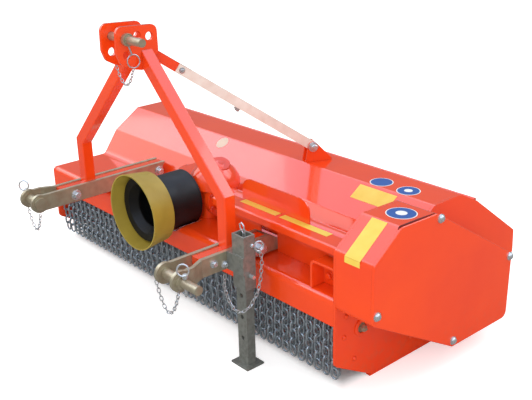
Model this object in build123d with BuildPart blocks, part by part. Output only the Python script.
"""Flail mulcher for a tractor's three-point linkage, 1.55 m working width.

Millimetres. X runs along the rotor, towards the belt drive at +X. The tractor
stands on the -Y side, and the roller is at the back, +Y. Z is up from the ground
that the skids, the roller and the parking stand rest on. The origin is the middle
of the machine's outline on that ground.
"""

import os
from math import atan2, cos, degrees, sin, tan

from build123d import *

os.makedirs("parts", exist_ok=True)

# Driving dimensions
body_width = 1550.0        # over the two side plates
belt_box_width = 134.0     # belt drive housing with its cover, outside the right plate
bearing_proud = 34.0       # rotor bearing housing outside the left plate
hitch_reach = 300.0        # lower arm tips ahead of the deck's front edge
hood_depth = 842.0         # deck's front edge to the back of the side plates
side_t = 8.0               # side plate
sheet_t = 4.0              # hood sheet
running_gap = 6.0          # between what turns or swings and what stands still
seat_gap = 0.3             # between curved faces that meet
pin_gap = 0.05             # round a shaft in its bearing
overrun = 5.0              # cutters run past the faces they cut

hood_x = (bearing_proud - belt_box_width) / 2
deck_y = (hitch_reach - hood_depth) / 2
half_width = body_width / 2
inner_half = half_width - side_t

# Hood profile: y from the deck's front edge, z from the ground, outer faces
front_wall_z = 217.0       # lower edge of the front wall
deck_z = 300.0
deck_end_y = 236.0
fold_low_y = 300.0         # end of the steep lower slope
fold_low_z = 388.0
fold_top_y = 412.0         # end of the long upper slope
hood_top_z = 460.0
strip_end_y = 536.0        # rear edge of the flat top strip
hinge_y = 620.0            # rear edge of the hood sheet, where the bonnet is hinged
hinge_z = 417.0
tail_y = 838.0             # lower rear corner of the rear slope
tail_z = 254.0
lip_z = 171.0              # lower edge of the rear bonnet
deck_edge_r = 20.0
deck_foot_r = 40.0
fold_r = 14.0

# Side plates and skids
plate_front_z = 94.0       # lower front corner of a side plate
skid_front_y = 146.0
skid_rear_y = 600.0
plate_tail_y = 742.0
plate_tail_z = 136.0
plate_corner_r = 16.0
skid_t = 8.0
skid_width = 16.0

# Belt housing
belt_cover_t = 8.0
belt_corner_r = 22.0
belt_edge_r = 3.0
belt_corners = (
    # y, z
    (0.0, 276.0),
    (0.0, 445.0),
    (105.0, 524.0),
    (251.0, 520.0),
    (625.0, 283.0),
    (620.0, 68.0),
    (352.0, 70.0),
)

# Rotor
rotor_y = 486.0
rotor_z = 200.0
rotor_tube_r = 57.0
rotor_shaft_r = 22.5
flail_tip_r = 165.0
flail_width = 62.0
flail_t = 12.0
flail_hook = 26.0
flail_pitch = 88.0         # along the rotor, from one flail to the next
flails_per_turn = 4
flail_lug_t = 8.0
flail_lug_r = 94.0
flail_lug_half = 18.0
bearing_r = 56.0
bearing_flange_t = 10.0

# Rear roller
roller_r = 70.0
roller_y = 760.0
roller_shaft_r = 15.0
roller_hub_r = 30.0
roller_bracket_t = 10.0
bracket_top_z = 232.0
bracket_half_y = 34.0

# Rear bonnet and its hinge
hinge_rod_r = 4.0
barrel_r = 7.0
hinge_reach = 12.0         # from the hinge's axis to the edge of either sheet
knuckle_gap = 1.0
knuckle_count = 11         # the hood's and the bonnet's by turns, the hood's at both ends

# Hitch arms, in pairs on both sides of a box beam that lies on the deck
beam_x = 394.0             # middle of each beam and post, from the hood's middle
beam_width = 40.0
beam_height = 58.0
beam_front_y = -176.0
arm_t = 12.0
arm_height = 56.0
arm_lift = 6.0
arm_pin_y = -268.0
arm_ear_r = 32.0
arm_tail_low_y = 164.0     # right arms end under the drive tube, with a sloping tail
arm_tail_top_y = 74.0
arm_joggle = 22.0          # sideways step at the outer arm's front
joggle_start_y = -224.0
joggle_end_y = -180.0
lower_pin_r = 14.0         # free end that takes the right lower link's ball
lower_pin_out = 70.0
lower_pin_stub = 10.0      # the left pin's end
lower_pin_shank_r = 16.0   # through the two arms
lower_pin_head_r = 22.0
lower_pin_head_t = 8.0

# Mast
post_y = -60.0
post_size = 40.0
post_bend_z = 510.0
post_edge_r = 4.0
head_gap = 72.0            # between the two head plates
head_plate_t = 10.0
leg_head_z = 860.0         # where a leg's middle meets its head plate
head_corner_r = 22.0
head_corners = (
    # y, z
    (-163.0, 968.0),
    (-20.0, 960.0),
    (-19.0, 875.0),
    (-76.0, 828.0),
    (-119.0, 838.0),
    (-153.0, 857.0),
    (-165.0, 888.0),
)
top_pin_y = -129.0
top_pin_z = 928.0
head_holes = (
    # y, z of the other link positions
    (-90.0, 934.0),
    (-49.0, 927.0),
    (-131.0, 881.0),
)
top_pin_r = 12.5
top_pin_out = 84.0
top_pin_collar_r = 19.0
top_pin_collar_t = 12.0
spacer_y = -30.0
spacer_z = 868.0
spacer_t = 14.0
spacer_height = 40.0

# Brace from the head down to the hood's top strip
brace_start_x = 18.0
brace_end_x = 226.0
brace_end_y = 446.0
brace_lug_t = 14.0
brace_lug_length = 104.0
brace_lug_w = 30.0
brace_bar_t = 5.0
brace_bar_w = 30.0
brace_overlap = 46.0       # bars and lug side by side
brace_bolt_r = 8.0
ear_rise = 52.0            # bolt above the top strip
ear_top_r = 17.0
ear_t = 6.0
ear_foot = 92.0
ear_foot_offset = 20.0

# Parking stand
stand_y = -65.0
stand_w = 42.0
stand_d = 30.0
stand_top_z = 396.0
stand_travel = 240.0
stand_wall = 4.0
stand_bore_depth = 60.0    # open upper end of the tube
sleeve_wall = 5.0
sleeve_clear = 0.5
sleeve_top_z = 424.0
sleeve_low_z = 255.0
sleeve_offset = 21.0       # between the outer arm and the sleeve
strap_t = 5.0              # plate across the sleeve's front
stand_foot_w = 75.0
stand_foot_d = 65.0
stand_foot_t = 6.0
stand_hole_r = 7.0
stand_hole_z = 92.0
stand_hole_pitch = 70.0
stand_hole_count = 3

# Drive line
pto_z = 368.0
pto_shaft_r = 17.5
pto_shaft_front_y = -22.0
pto_collar_r = 27.0
pto_collar_t = 14.0
gearbox_half_x = 84.0
gearbox_front_y = 104.0
gearbox_rear_y = 212.0
gearbox_top_z = 438.0
gearbox_edge_r = 26.0
cap_x = 36.0
cap_r = 27.0
cap_h = 12.0
input_flange_r = 62.0
input_flange_t = 24.0
side_flange_r = 64.0
side_flange_t = 22.0
drive_tube_r = 44.0
cover_beam_z = 430.0       # top of the folded cover over the drive tube
cover_beam_front_y = 40.0
cover_beam_depth = 66.0
cover_beam_lip = 24.0
cover_start_x = 200.0
cover_plate_start_x = 274.0   # rounded plate that stands on the cover's rear fold
cover_plate_end_x = 571.0
cover_plate_top_z = 501.0
cover_plate_r = 40.0

# Input guard
guard_r = 92.0
guard_t = 4.0
guard_front_y = -84.0
ring_front_r = 126.0
ring_rear_r = 116.0
ring_front_y = -132.0
ring_rear_y = -49.0
trough_gap = 8.0

# Chain curtain
chain_rod_r = 6.0
chain_rod_z = 236.0
chain_rows = (
    # name, y
    ("front", 26.0),
    ("rear", 52.0),
)
chain_low_z = 30.0
chain_pitch = 34.0
chain_wide = 17.0
chain_narrow = 8.0
chain_t = 7.0
chain_bulges = 4

# Box at the deck's right end, in front of the belt housing's wall
end_box_width = 48.0
end_box_gap = 51.0         # to the belt housing's wall
end_box_front_y = 10.0
end_box_rear_y = 62.0
end_box_top_z = 386.0
end_box_r = 14.0


def at(y, z):
    """Point of a side view whose y is measured from the deck's front edge."""
    return (deck_y + y, z)


def across(x):
    """Side-view plane at a place measured from the hood's middle."""
    return Plane.YZ.offset(hood_x + x)


def along(y):
    """Front-view plane at a place measured from the deck's front edge."""
    return Plane.XZ.offset(-deck_y - y)


def save(part, label):
    """Name a finished piece and write it."""
    part.label = label
    export_step(part, f"parts/{label}.step")


sides = (
    # name, sign of x
    ("left", -1),
    ("right", 1),
)
hood_corners = (
    (0, deck_z),
    (deck_end_y, deck_z),
    (fold_low_y, fold_low_z),
    (fold_top_y, hood_top_z),
    (strip_end_y, hood_top_z),
)
hood_radii = (deck_edge_r, deck_foot_r, fold_r, fold_r, fold_r)
hood_tilt = atan2(hood_top_z - hinge_z, hinge_y - strip_end_y)
bonnet_tilt = atan2(hinge_z - tail_z, tail_y - hinge_y)

# Hood sheet with the trough that clears the input guard
trough_r = guard_r + trough_gap
trough_rear_y = gearbox_front_y - input_flange_t + trough_gap
with BuildPart() as hood:
    with BuildSketch(across(0)):
        with BuildLine():
            FilletPolyline(
                at(0, front_wall_z),
                *[at(y, z) for y, z in hood_corners],
                at(hinge_y - hinge_reach * cos(hood_tilt), hinge_z + hinge_reach * sin(hood_tilt)),
                radius=hood_radii,
            )
            offset(amount=sheet_t, side=Side.RIGHT)
        make_face()
    extrude(amount=inner_half, both=True)
    with BuildSketch(along(0)):
        with Locations((hood_x, pto_z)):
            Circle(trough_r + sheet_t)
        with Locations((hood_x, deck_z - sheet_t)):
            Rectangle(3 * trough_r, 3 * trough_r, align=(Align.CENTER, Align.MIN), mode=Mode.SUBTRACT)
    extrude(amount=-trough_rear_y - sheet_t)
    with BuildSketch(along(-overrun)):
        with Locations((hood_x, pto_z)):
            Circle(trough_r)
    extrude(amount=-trough_rear_y - overrun, mode=Mode.SUBTRACT)
save(hood.part, "hood_shell")

# Side plates, with the skids they stand on
plate_low = (
    (hinge_y, hinge_z),
    (tail_y, tail_z),
    (hood_depth, lip_z),
    (plate_tail_y, plate_tail_z),
    (skid_rear_y, skid_t),
    (skid_front_y, skid_t),
    (0, plate_front_z),
)
for side, sign in sides:
    with BuildPart() as plate:
        with BuildSketch(across(sign * (half_width - side_t / 2))):
            with BuildLine():
                FilletPolyline(
                    *[at(y, z) for y, z in hood_corners + plate_low],
                    radius=plate_corner_r,
                    close=True,
                )
            make_face()
            if side == "right":
                with BuildLine():
                    FilletPolyline(
                        *[at(y, z) for y, z in belt_corners], radius=belt_corner_r, close=True
                    )
                make_face()
        extrude(amount=side_t / 2, both=True)
        with BuildSketch(across(sign * half_width)):
            with Locations(at(rotor_y, rotor_z)):
                Circle(rotor_shaft_r + running_gap)
        extrude(amount=side_t + overrun, both=True, mode=Mode.SUBTRACT)
    save(plate.part, f"side_plate_{side}")

    with BuildPart() as skid:
        with BuildSketch(across(sign * (half_width - skid_width / 2))):
            with Locations(at(skid_front_y, 0)):
                Rectangle(skid_rear_y - skid_front_y, skid_t, align=(Align.MIN, Align.MIN))
        extrude(amount=skid_width / 2, both=True)
    save(skid.part, f"skid_{side}")

# Belt drive housing and its cover
with BuildPart() as belt_box:
    with BuildSketch(across(half_width)):
        with BuildLine():
            FilletPolyline(*[at(y, z) for y, z in belt_corners], radius=belt_corner_r, close=True)
        make_face()
    extrude(amount=belt_box_width - belt_cover_t)
save(belt_box.part, "belt_box")

with BuildPart() as belt_cover:
    with BuildSketch(across(half_width + belt_box_width - belt_cover_t)):
        with BuildLine():
            FilletPolyline(*[at(y, z) for y, z in belt_corners], radius=belt_corner_r, close=True)
        make_face()
    extrude(amount=belt_cover_t)
    fillet(belt_cover.faces().sort_by(Axis.X)[-1].edges(), belt_edge_r)
save(belt_cover.part, "belt_cover")

# Rear bonnet, hinged along the hood's rear edge on a row of knuckles with a rod through them
bonnet_half = inner_half - running_gap
knuckle_pitch = 2 * inner_half / knuckle_count
knuckle_places = [knuckle_pitch * (i - (knuckle_count - 1) / 2) for i in range(knuckle_count)]


def knuckle_face(tilt, leaf_side):
    """Barrel with a leaf to the sheet's edge: leaf_side is MIN behind the axis, MAX ahead of it."""
    with BuildSketch() as face:
        with Locations(at(hinge_y, hinge_z)):
            Circle(barrel_r)
            with Locations(Rotation(0, 0, -degrees(tilt))):
                Rectangle(hinge_reach, sheet_t, align=(leaf_side, Align.MAX))
            Circle(hinge_rod_r + pin_gap, mode=Mode.SUBTRACT)
    return face.sketch


bonnet_knuckle = knuckle_face(bonnet_tilt, Align.MIN)
hood_knuckle = knuckle_face(hood_tilt, Align.MAX)
with BuildPart() as bonnet:
    with BuildSketch(across(0)):
        with BuildLine():
            FilletPolyline(
                at(hinge_y + hinge_reach * cos(bonnet_tilt), hinge_z - hinge_reach * sin(bonnet_tilt)),
                at(tail_y, tail_z),
                at(hood_depth, lip_z),
                radius=fold_r,
            )
            offset(amount=sheet_t, side=Side.RIGHT)
        make_face()
    extrude(amount=bonnet_half, both=True)
    for x in knuckle_places[1::2]:
        with BuildSketch(across(x)):
            add(bonnet_knuckle)
        extrude(amount=(knuckle_pitch - knuckle_gap) / 2, both=True)
save(bonnet.part, "rear_bonnet")

with BuildPart() as hinge:
    for x in knuckle_places[::2]:
        with BuildSketch(across(x)):
            add(hood_knuckle)
        extrude(amount=(knuckle_pitch - knuckle_gap) / 2, both=True)
save(hinge.part, "bonnet_hinge")

with BuildPart() as hinge_rod:
    with BuildSketch(across(0)):
        with Locations(at(hinge_y, hinge_z)):
            Circle(hinge_rod_r)
    extrude(amount=inner_half - seat_gap, both=True)
save(hinge_rod.part, "hinge_rod")

# Rotor: tube, shaft ends and the lugs that carry the flails
bearing_depth = bearing_proud
rotor_left = -inner_half + running_gap
rotor_right = inner_half - bearing_depth - running_gap
rotor_mid = (rotor_left + rotor_right) / 2
rotor_half = (rotor_right - rotor_left) / 2
flail_count = int((2 * rotor_half - flail_width) / flail_pitch)
flail_places = [
    # place along the rotor, turn in degrees
    (rotor_mid + flail_pitch * (i - (flail_count - 1) / 2), 360 * i / flails_per_turn)
    for i in range(flail_count)
]
flail_half = flail_width / 2
flail_bar_half = flail_half - flail_lug_t - seat_gap
with BuildPart() as rotor:
    with BuildSketch(across(rotor_mid)):
        with Locations(at(rotor_y, rotor_z)):
            Circle(rotor_tube_r)
    extrude(amount=rotor_half, both=True)
    with BuildSketch(across(-half_width - bearing_proud / 2)):
        with Locations(at(rotor_y, rotor_z)):
            Circle(rotor_shaft_r)
    extrude(amount=half_width + bearing_proud / 2 + inner_half - seat_gap)
    for x, turn in flail_places:
        for sign in (-1, 1):
            with BuildSketch(across(x + sign * (flail_half - flail_lug_t / 2))):
                with Locations(at(rotor_y, rotor_z)):
                    with Locations(Rotation(0, 0, turn)):
                        Rectangle(2 * flail_lug_half, flail_lug_r, align=(Align.CENTER, Align.MIN))
            extrude(amount=flail_lug_t / 2, both=True)
save(rotor.part, "rotor")

with BuildSketch() as flail_face:
    with BuildLine():
        Polyline(
            (-flail_t / 2, rotor_tube_r + seat_gap),
            (flail_t / 2, rotor_tube_r + seat_gap),
            (flail_t / 2, flail_tip_r - flail_t),
            (flail_hook, flail_tip_r - flail_t),
            (flail_t / 2, flail_tip_r),
            (-flail_t / 2, flail_tip_r),
            close=True,
        )
    make_face()
with BuildPart() as flails:
    for x, turn in flail_places:
        with BuildSketch(across(x)):
            with Locations(at(rotor_y, rotor_z)):
                with Locations(Rotation(0, 0, turn)):
                    add(flail_face.sketch)
        extrude(amount=flail_bar_half, both=True)
save(flails.part, "flails")

# Rotor bearings: a housing outside the left plate and one inside the right plate
for side, x in (
    ("left", -half_width),
    ("right", inner_half),
):
    with BuildPart() as bearing:
        with BuildSketch(across(x)):
            with Locations(at(rotor_y, rotor_z)):
                Circle(bearing_r)
                Circle(rotor_shaft_r + pin_gap, mode=Mode.SUBTRACT)
        extrude(amount=-bearing_flange_t)
        with BuildSketch(across(x - bearing_flange_t)):
            with Locations(at(rotor_y, rotor_z)):
                Circle(bearing_r - bearing_flange_t)
                Circle(rotor_shaft_r + pin_gap, mode=Mode.SUBTRACT)
        extrude(amount=bearing_flange_t - bearing_depth)
    save(bearing.part, f"rotor_bearing_{side}")

# Rear roller and its brackets on the inner faces of the side plates
roller_half = inner_half - roller_bracket_t - running_gap
with BuildPart() as roller:
    with BuildSketch(across(0)):
        with Locations(at(roller_y, roller_r)):
            Circle(roller_r)
    extrude(amount=roller_half, both=True)
    with BuildSketch(across(0)):
        with Locations(at(roller_y, roller_r)):
            Circle(roller_shaft_r)
    extrude(amount=inner_half - seat_gap, both=True)
save(roller.part, "roller")

for side, sign in sides:
    with BuildPart() as bracket:
        with BuildSketch(across(sign * (inner_half - roller_bracket_t / 2))):
            with Locations(at(roller_y, roller_r)):
                Circle(roller_hub_r)
            with Locations(at(roller_y, bracket_top_z)):
                Rectangle(2 * bracket_half_y, roller_hub_r, align=(Align.CENTER, Align.MAX))
            make_hull()
            with Locations(at(roller_y, roller_r)):
                Circle(roller_shaft_r + pin_gap, mode=Mode.SUBTRACT)
        extrude(amount=roller_bracket_t / 2, both=True)
    save(bracket.part, f"roller_bracket_{side}")

# Hitch: a box beam on the deck with an arm bolted along each face, and a pin between the arms' ears
arm_z = deck_z + arm_lift
arm_mid_z = arm_z + arm_height / 2
slope_run = (fold_low_y - deck_end_y) / (fold_low_z - deck_z)
slope_turn = atan2(fold_low_z - deck_z, fold_low_y - deck_end_y)
deck_flat_y = deck_end_y - deck_foot_r * tan(slope_turn / 2)
tail_slope = (arm_tail_low_y - arm_tail_top_y) / arm_height
arm_tails = {
    # side: y of the tail at the deck, and how far it leans back for each mm of height
    "left": (deck_flat_y - running_gap, slope_run),
    "right": (arm_tail_low_y, -tail_slope),
}
beam_side = beam_width / 2
plan_corners = {
    # x from the beam's middle and y of each arm's outline, rear to front
    "inner": (
        (-beam_side, fold_low_y),
        (-beam_side, arm_pin_y - arm_ear_r - overrun),
        (-beam_side - arm_t, arm_pin_y - arm_ear_r - overrun),
        (-beam_side - arm_t, fold_low_y),
    ),
    "outer": (
        (beam_side, fold_low_y),
        (beam_side, joggle_end_y),
        (beam_side + arm_joggle, joggle_start_y),
        (beam_side + arm_joggle, arm_pin_y - arm_ear_r - overrun),
        (beam_side + arm_joggle + arm_t, arm_pin_y - arm_ear_r - overrun),
        (beam_side + arm_joggle + arm_t, joggle_start_y),
        (beam_side + arm_t, joggle_end_y),
        (beam_side + arm_t, fold_low_y),
    ),
}
pin_ends = {"left": lower_pin_stub, "right": lower_pin_out}
for side, sign in sides:
    rear_y, rear_lean = arm_tails[side]
    with BuildPart() as beam:
        with BuildSketch(across(sign * beam_x)):
            with BuildLine():
                Polyline(
                    at(beam_front_y, deck_z),
                    at(rear_y, deck_z),
                    at(rear_y + rear_lean * beam_height, deck_z + beam_height),
                    at(beam_front_y, deck_z + beam_height),
                    close=True,
                )
            make_face()
        extrude(amount=beam_side, both=True)
    save(beam.part, f"hitch_beam_{side}")

    for arm_name, corners in plan_corners.items():
        with BuildPart() as arm:
            with BuildSketch(Plane.XY.offset(arm_mid_z - arm_ear_r)):
                with BuildLine():
                    Polyline(
                        *[(hood_x + sign * (beam_x + x), deck_y + y) for x, y in corners],
                        close=True,
                    )
                make_face()
            extrude(amount=2 * arm_ear_r)
            with BuildSketch(across(sign * beam_x)):
                with Locations(at(arm_pin_y, arm_mid_z)):
                    Circle(arm_ear_r)
                with BuildLine():
                    Polyline(
                        at(arm_pin_y, arm_z),
                        at(rear_y, arm_z),
                        at(rear_y + rear_lean * arm_height, arm_z + arm_height),
                        at(arm_pin_y, arm_z + arm_height),
                        close=True,
                    )
                make_face()
                with Locations(at(arm_pin_y, arm_mid_z)):
                    Circle(lower_pin_shank_r + seat_gap, mode=Mode.SUBTRACT)
            extrude(amount=beam_x, both=True, mode=Mode.INTERSECT)
        save(arm.part, f"arm_{side}_{arm_name}")

    pin_in = beam_x - beam_side - arm_t
    pin_collar = beam_x + beam_side + arm_joggle + arm_t
    with BuildPart() as lower_pin:
        for start, length, radius in (
            (pin_in - lower_pin_head_t, lower_pin_head_t, lower_pin_head_r),
            (pin_in, pin_collar - pin_in, lower_pin_shank_r),
            (pin_collar, lower_pin_head_t, lower_pin_head_r),
            (pin_collar + lower_pin_head_t, pin_ends[side], lower_pin_r),
        ):
            with BuildSketch(across(sign * start)):
                with Locations(at(arm_pin_y, arm_mid_z)):
                    Circle(radius)
            extrude(amount=sign * length)
    save(lower_pin.part, f"lower_pin_{side}")

# Mast: each post and its leg are one bent square tube that ends on a head plate
head_outer = head_gap / 2 + head_plate_t
post_half = post_size / 2
lean = atan2(beam_x - head_outer, leg_head_z - post_bend_z)
mitre = post_half * tan(lean / 2)
leg_cut = post_half / sin(lean)
for side, sign in sides:
    with BuildPart() as mast:
        with BuildSketch(along(post_y)):
            with BuildLine():
                Polyline(
                    *[
                        (hood_x + sign * x, z)
                        for x, z in (
                            (beam_x - post_half, deck_z + beam_height),
                            (beam_x + post_half, deck_z + beam_height),
                            (beam_x + post_half, post_bend_z + mitre),
                            (head_outer, leg_head_z + leg_cut),
                            (head_outer, leg_head_z - leg_cut),
                            (beam_x - post_half, post_bend_z - mitre),
                        )
                    ],
                    close=True,
                )
            make_face()
        extrude(amount=post_half, both=True)
        long_edges = mast.edges().filter_by(lambda e: abs(e.tangent_at(0).Y) < 0.5)
        ends = mast.faces().filter_by(Axis.X).filter_by(
            lambda f: abs(f.center().X - hood_x) < head_outer + post_edge_r
        ) + mast.faces().filter_by(Axis.Z)
        end_edges = ends.edges()
        fillet(long_edges.filter_by(lambda e: e not in end_edges), post_edge_r)
    save(mast.part, f"mast_{side}")

    with BuildPart() as head_plate:
        with BuildSketch(across(sign * (head_gap + head_plate_t) / 2)):
            with BuildLine():
                FilletPolyline(
                    *[at(y, z) for y, z in head_corners], radius=head_corner_r, close=True
                )
            make_face()
            with Locations(at(top_pin_y, top_pin_z), *[at(y, z) for y, z in head_holes]):
                Circle(top_pin_r + seat_gap, mode=Mode.SUBTRACT)
        extrude(amount=head_plate_t / 2, both=True)
    save(head_plate.part, f"head_plate_{side}")

with BuildPart() as top_pin:
    with BuildSketch(across(-head_outer - top_pin_collar_t)):
        with Locations(at(top_pin_y, top_pin_z)):
            Circle(top_pin_r)
    extrude(amount=2 * head_outer + top_pin_collar_t + top_pin_out)
    with BuildSketch(across(head_outer)):
        with Locations(at(top_pin_y, top_pin_z)):
            Circle(top_pin_collar_r)
    extrude(amount=top_pin_collar_t)
save(top_pin.part, "top_link_pin")

# Brace: a lug on a spacer between the head plates, two bars, and two ears on the top strip
with BuildPart() as spacer:
    with BuildSketch(across(0)):
        with Locations(at(spacer_y, spacer_z)):
            Rectangle(spacer_t, spacer_height)
    extrude(amount=head_gap / 2, both=True)
save(spacer.part, "head_spacer")

brace_start = Vector(hood_x + brace_start_x, deck_y + spacer_y + spacer_t / 2, spacer_z)
brace_end = Vector(hood_x + brace_end_x, deck_y + brace_end_y, hood_top_z + ear_rise)
brace_line = brace_end - brace_start
brace_length = brace_line.length
brace_heading = Vector(brace_line.X, brace_line.Y, 0).normalized()
brace_side = brace_heading.cross(Vector(0, 0, 1))
brace_plane = Plane(origin=brace_start, x_dir=brace_line, z_dir=brace_side)
with BuildPart() as lug:
    with BuildSketch(brace_plane):
        Rectangle(brace_lug_length + brace_lug_w, brace_lug_w, align=(Align.MIN, Align.CENTER))
    extrude(amount=brace_lug_t / 2, both=True)
    with BuildSketch(across(0)):
        with Locations(at(spacer_y, spacer_z)):
            Rectangle(spacer_t, 2 * spacer_height)
    extrude(amount=head_gap, both=True, mode=Mode.SUBTRACT)
    split(bisect_by=Plane.XZ.offset(-deck_y - spacer_y - spacer_t / 2), keep=Keep.BOTTOM)
save(lug.part, "brace_lug")

bar_start = brace_lug_length + brace_lug_w - brace_overlap
with BuildPart() as bars:
    for sign in (-1, 1):
        bar_plane = brace_plane.offset(sign * (brace_lug_t + brace_bar_t) / 2)
        with BuildSketch(bar_plane):
            with Locations((bar_start, 0)):
                Rectangle(
                    brace_length - bar_start, brace_bar_w, align=(Align.MIN, Align.CENTER)
                )
            with Locations((brace_length, 0)):
                Circle(brace_bar_w / 2)
                Circle(brace_bolt_r + seat_gap, mode=Mode.SUBTRACT)
        extrude(amount=brace_bar_t / 2, both=True)
save(bars.part, "brace_bars")

ear_plane = Plane(
    origin=(brace_end.X, brace_end.Y, hood_top_z), x_dir=brace_heading, z_dir=brace_side
)
ear_middle = (brace_lug_t + ear_t) / 2 + brace_bar_t
with BuildPart() as ears:
    for sign in (-1, 1):
        with BuildSketch(ear_plane.offset(sign * ear_middle)):
            with Locations((0, ear_rise)):
                Circle(ear_top_r)
            with Locations((ear_foot_offset, 0)):
                Rectangle(ear_foot, ear_t, align=(Align.CENTER, Align.MIN))
            make_hull()
            with Locations((0, ear_rise)):
                Circle(brace_bolt_r + seat_gap, mode=Mode.SUBTRACT)
        extrude(amount=ear_t / 2, both=True)
save(ears.part, "brace_ears")

with BuildPart() as brace_bolt:
    with BuildSketch(ear_plane):
        with Locations((0, ear_rise)):
            Circle(brace_bolt_r)
    extrude(amount=ear_middle + ear_t, both=True)
save(brace_bolt.part, "brace_bolt")

# Parking stand: a tube with a foot that slides in a sleeve on the right outer arm
sleeve_inner_w = stand_w + 2 * sleeve_clear
sleeve_inner_d = stand_d + 2 * sleeve_clear
sleeve_w = sleeve_inner_w + 2 * sleeve_wall
sleeve_d = sleeve_inner_d + 2 * sleeve_wall
stand_x = hood_x + beam_x + beam_side + arm_t + sleeve_offset + sleeve_w / 2
arm_face_x = stand_x - sleeve_w / 2 - sleeve_offset
with BuildPart() as sleeve:
    with BuildSketch(Plane.XY.offset(sleeve_low_z)):
        with Locations((stand_x, deck_y + stand_y)):
            Rectangle(sleeve_w, sleeve_d)
            Rectangle(sleeve_inner_w, sleeve_inner_d, mode=Mode.SUBTRACT)
    extrude(amount=sleeve_top_z - sleeve_low_z)
    with BuildSketch(Plane.XY.offset(arm_z)):
        with Locations((arm_face_x, deck_y + stand_y)):
            Rectangle(sleeve_offset, sleeve_d / 2, align=(Align.MIN, Align.MAX))
        with Locations((arm_face_x, deck_y + stand_y - sleeve_d / 2)):
            Rectangle(sleeve_offset + sleeve_w, strap_t, align=(Align.MIN, Align.MAX))
    extrude(amount=arm_height)
save(sleeve.part, "stand_sleeve")

with BuildPart() as leg:
    with BuildSketch(Plane.XY.offset(stand_foot_t)):
        with Locations((stand_x, deck_y + stand_y)):
            Rectangle(stand_w, stand_d)
    extrude(amount=stand_top_z - stand_foot_t)
    with BuildSketch(along(stand_y)):
        for i in range(stand_hole_count):
            with Locations((stand_x, stand_hole_z + i * stand_hole_pitch)):
                Circle(stand_hole_r)
    extrude(amount=stand_d, both=True, mode=Mode.SUBTRACT)
    with BuildSketch(Plane.XY.offset(stand_top_z)):
        with Locations((stand_x, deck_y + stand_y)):
            Rectangle(stand_w - 2 * stand_wall, stand_d - 2 * stand_wall)
    extrude(amount=-stand_bore_depth, mode=Mode.SUBTRACT)
    with BuildSketch(Plane.XY):
        with Locations((stand_x, deck_y + stand_y)):
            Rectangle(stand_foot_w, stand_foot_d)
    extrude(amount=stand_foot_t)
save(leg.part, "parking_stand")

# Gearbox on the deck, with the shaft tube to the belt housing
gearbox_depth = gearbox_rear_y - gearbox_front_y
gearbox_y = (gearbox_rear_y + gearbox_front_y) / 2
with BuildPart() as gearbox:
    with BuildSketch(Plane.XY.offset(deck_z)):
        with Locations((hood_x, deck_y + gearbox_y)):
            Rectangle(2 * gearbox_half_x, gearbox_depth)
    extrude(amount=gearbox_top_z - deck_z)
    fillet(gearbox.edges().filter_by(Axis.Z), gearbox_edge_r)
    with BuildSketch(Plane.XY.offset(gearbox_top_z)):
        with Locations((hood_x + cap_x, deck_y + gearbox_y)):
            Circle(cap_r)
    extrude(amount=cap_h)
    with BuildSketch(along(gearbox_front_y)):
        with Locations((hood_x, pto_z)):
            Circle(input_flange_r)
    extrude(amount=input_flange_t)
    for sign in (-1, 1):
        with BuildSketch(across(sign * gearbox_half_x)):
            with Locations(at(gearbox_y, pto_z)):
                Circle(side_flange_r)
        extrude(amount=sign * side_flange_t)
    with BuildSketch(along(gearbox_front_y)):
        with Locations((hood_x, pto_z)):
            Circle(pto_shaft_r + pin_gap)
    extrude(amount=input_flange_t, mode=Mode.SUBTRACT)
save(gearbox.part, "gearbox")

tube_start = gearbox_half_x + side_flange_t
with BuildPart() as drive_tube:
    with BuildSketch(across(tube_start)):
        with Locations(at(gearbox_y, pto_z)):
            Circle(drive_tube_r)
    extrude(amount=inner_half - tube_start)
save(drive_tube.part, "drive_tube")

cover_rear_y = cover_beam_front_y + cover_beam_depth
with BuildPart() as drive_cover:
    with BuildSketch(across(cover_start_x)):
        with BuildLine():
            FilletPolyline(
                at(cover_beam_front_y, cover_beam_z - cover_beam_lip),
                at(cover_beam_front_y, cover_beam_z),
                at(cover_rear_y, cover_beam_z),
                at(cover_rear_y, deck_z),
                radius=fold_r / 2,
            )
            offset(amount=sheet_t, side=Side.RIGHT)
        make_face()
    extrude(amount=inner_half - cover_start_x)
    with BuildSketch(along(cover_rear_y)):
        with BuildLine():
            edge = FilletPolyline(
                (hood_x + cover_plate_start_x, cover_beam_z - fold_r),
                (hood_x + cover_plate_start_x, cover_plate_top_z),
                (hood_x + cover_plate_end_x, cover_plate_top_z),
                (hood_x + cover_plate_end_x, cover_beam_z - fold_r),
                radius=cover_plate_r,
            )
            Line(edge @ 0, edge @ 1)
        make_face()
    extrude(amount=sheet_t)
    with BuildSketch(across(beam_x)):
        with Locations(at(cover_rear_y, deck_z - overrun)):
            Rectangle(
                cover_beam_depth,
                overrun + arm_lift + arm_height + running_gap,
                align=(Align.CENTER, Align.MIN),
            )
    extrude(amount=beam_side + arm_t + running_gap, both=True, mode=Mode.SUBTRACT)
save(drive_cover.part, "drive_cover")

# Input shaft and its guard: a tube behind a wider tapered ring
flange_face_y = gearbox_front_y - input_flange_t
with BuildPart() as pto_shaft:
    with BuildSketch(along(pto_shaft_front_y)):
        with Locations((hood_x, pto_z)):
            Circle(pto_shaft_r)
    extrude(amount=pto_shaft_front_y - gearbox_front_y)
    with BuildSketch(along(flange_face_y - guard_t - seat_gap)):
        with Locations((hood_x, pto_z)):
            Circle(pto_collar_r)
    extrude(amount=pto_collar_t)
save(pto_shaft.part, "pto_shaft")

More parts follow.
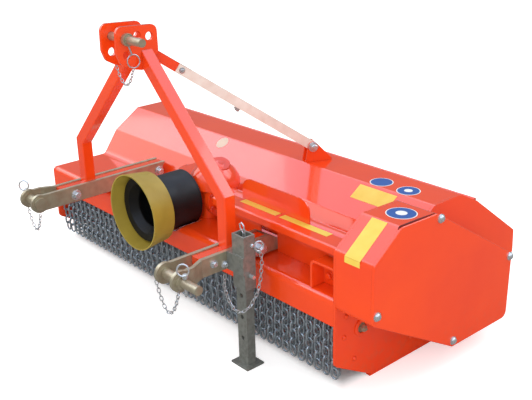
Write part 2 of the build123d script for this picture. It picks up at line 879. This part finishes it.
with BuildPart() as guard:
    with BuildSketch(along(guard_front_y)):
        with Locations((hood_x, pto_z)):
            Circle(guard_r)
            Circle(guard_r - guard_t, mode=Mode.SUBTRACT)
    extrude(amount=guard_front_y - flange_face_y + guard_t + seat_gap)
save(guard.part, "pto_guard_tube")

with BuildPart() as guard_plate:
    with BuildSketch(along(flange_face_y)):
        with Locations((hood_x, pto_z)):
            Circle(guard_r)
            Circle(pto_collar_r, mode=Mode.SUBTRACT)
    extrude(amount=guard_t)
save(guard_plate.part, "pto_guard_plate")

with BuildPart() as ring:
    with BuildSketch(Plane.YZ.offset(hood_x)):
        with BuildLine():
            Polyline(
                at(ring_front_y, pto_z + ring_front_r),
                at(ring_rear_y, pto_z + ring_rear_r),
                at(ring_rear_y, pto_z + guard_r + seat_gap),
                at(ring_rear_y - guard_t, pto_z + guard_r + seat_gap),
                at(ring_rear_y - guard_t, pto_z + ring_rear_r - guard_t),
                at(ring_front_y, pto_z + ring_front_r - guard_t),
                close=True,
            )
        make_face()
    revolve(axis=Axis((hood_x, 0, pto_z), (0, 1, 0)))
save(ring.part, "pto_guard_ring")

# Chain curtain: two rods between the side plates, with a row of hanging chains on each
chain_half = inner_half - running_gap - chain_wide / 2
chain_count = int(2 * chain_half / chain_pitch) + 1
chain_top_z = chain_rod_z - chain_rod_r - seat_gap
bulge_height = (chain_top_z - chain_low_z) / (2 * chain_bulges - 1)
chain_edge = [
    ((chain_wide if i % 2 else chain_narrow) / 2, chain_top_z - i * bulge_height)
    for i in range(2 * chain_bulges)
]
with BuildSketch() as chain_face:
    with BuildLine():
        Polyline(*chain_edge, *[(-x, z) for x, z in reversed(chain_edge)], close=True)
    make_face()
for i_row, (row, row_y) in enumerate(chain_rows):
    with BuildPart() as rod:
        with BuildSketch(across(0)):
            with Locations(at(row_y, chain_rod_z)):
                Circle(chain_rod_r)
        extrude(amount=inner_half, both=True)
    save(rod.part, f"chain_rod_{row}")

    row_start = hood_x - chain_pitch * (chain_count - 1) / 2 + i_row * chain_pitch / 2
    with BuildPart() as chains:
        with BuildSketch(along(row_y)):
            with Locations(*[(row_start + i * chain_pitch, 0) for i in range(chain_count - i_row)]):
                add(chain_face.sketch)
        extrude(amount=chain_t / 2, both=True)
    save(chains.part, f"chain_row_{row}")

# Box at the deck's right end
end_box_x = hood_x + inner_half - end_box_gap - end_box_width / 2
with BuildPart() as end_box:
    with BuildSketch(along(end_box_front_y)):
        with Locations((end_box_x, deck_z)):
            Rectangle(end_box_width, end_box_top_z - deck_z, align=(Align.CENTER, Align.MIN))
    extrude(amount=end_box_front_y - end_box_rear_y)
    right_top = end_box.edges().filter_by(Axis.Y).group_by(Axis.Z)[-1].sort_by(Axis.X)[-1]
    fillet(right_top, end_box_r)
save(end_box.part, "deck_end_box")
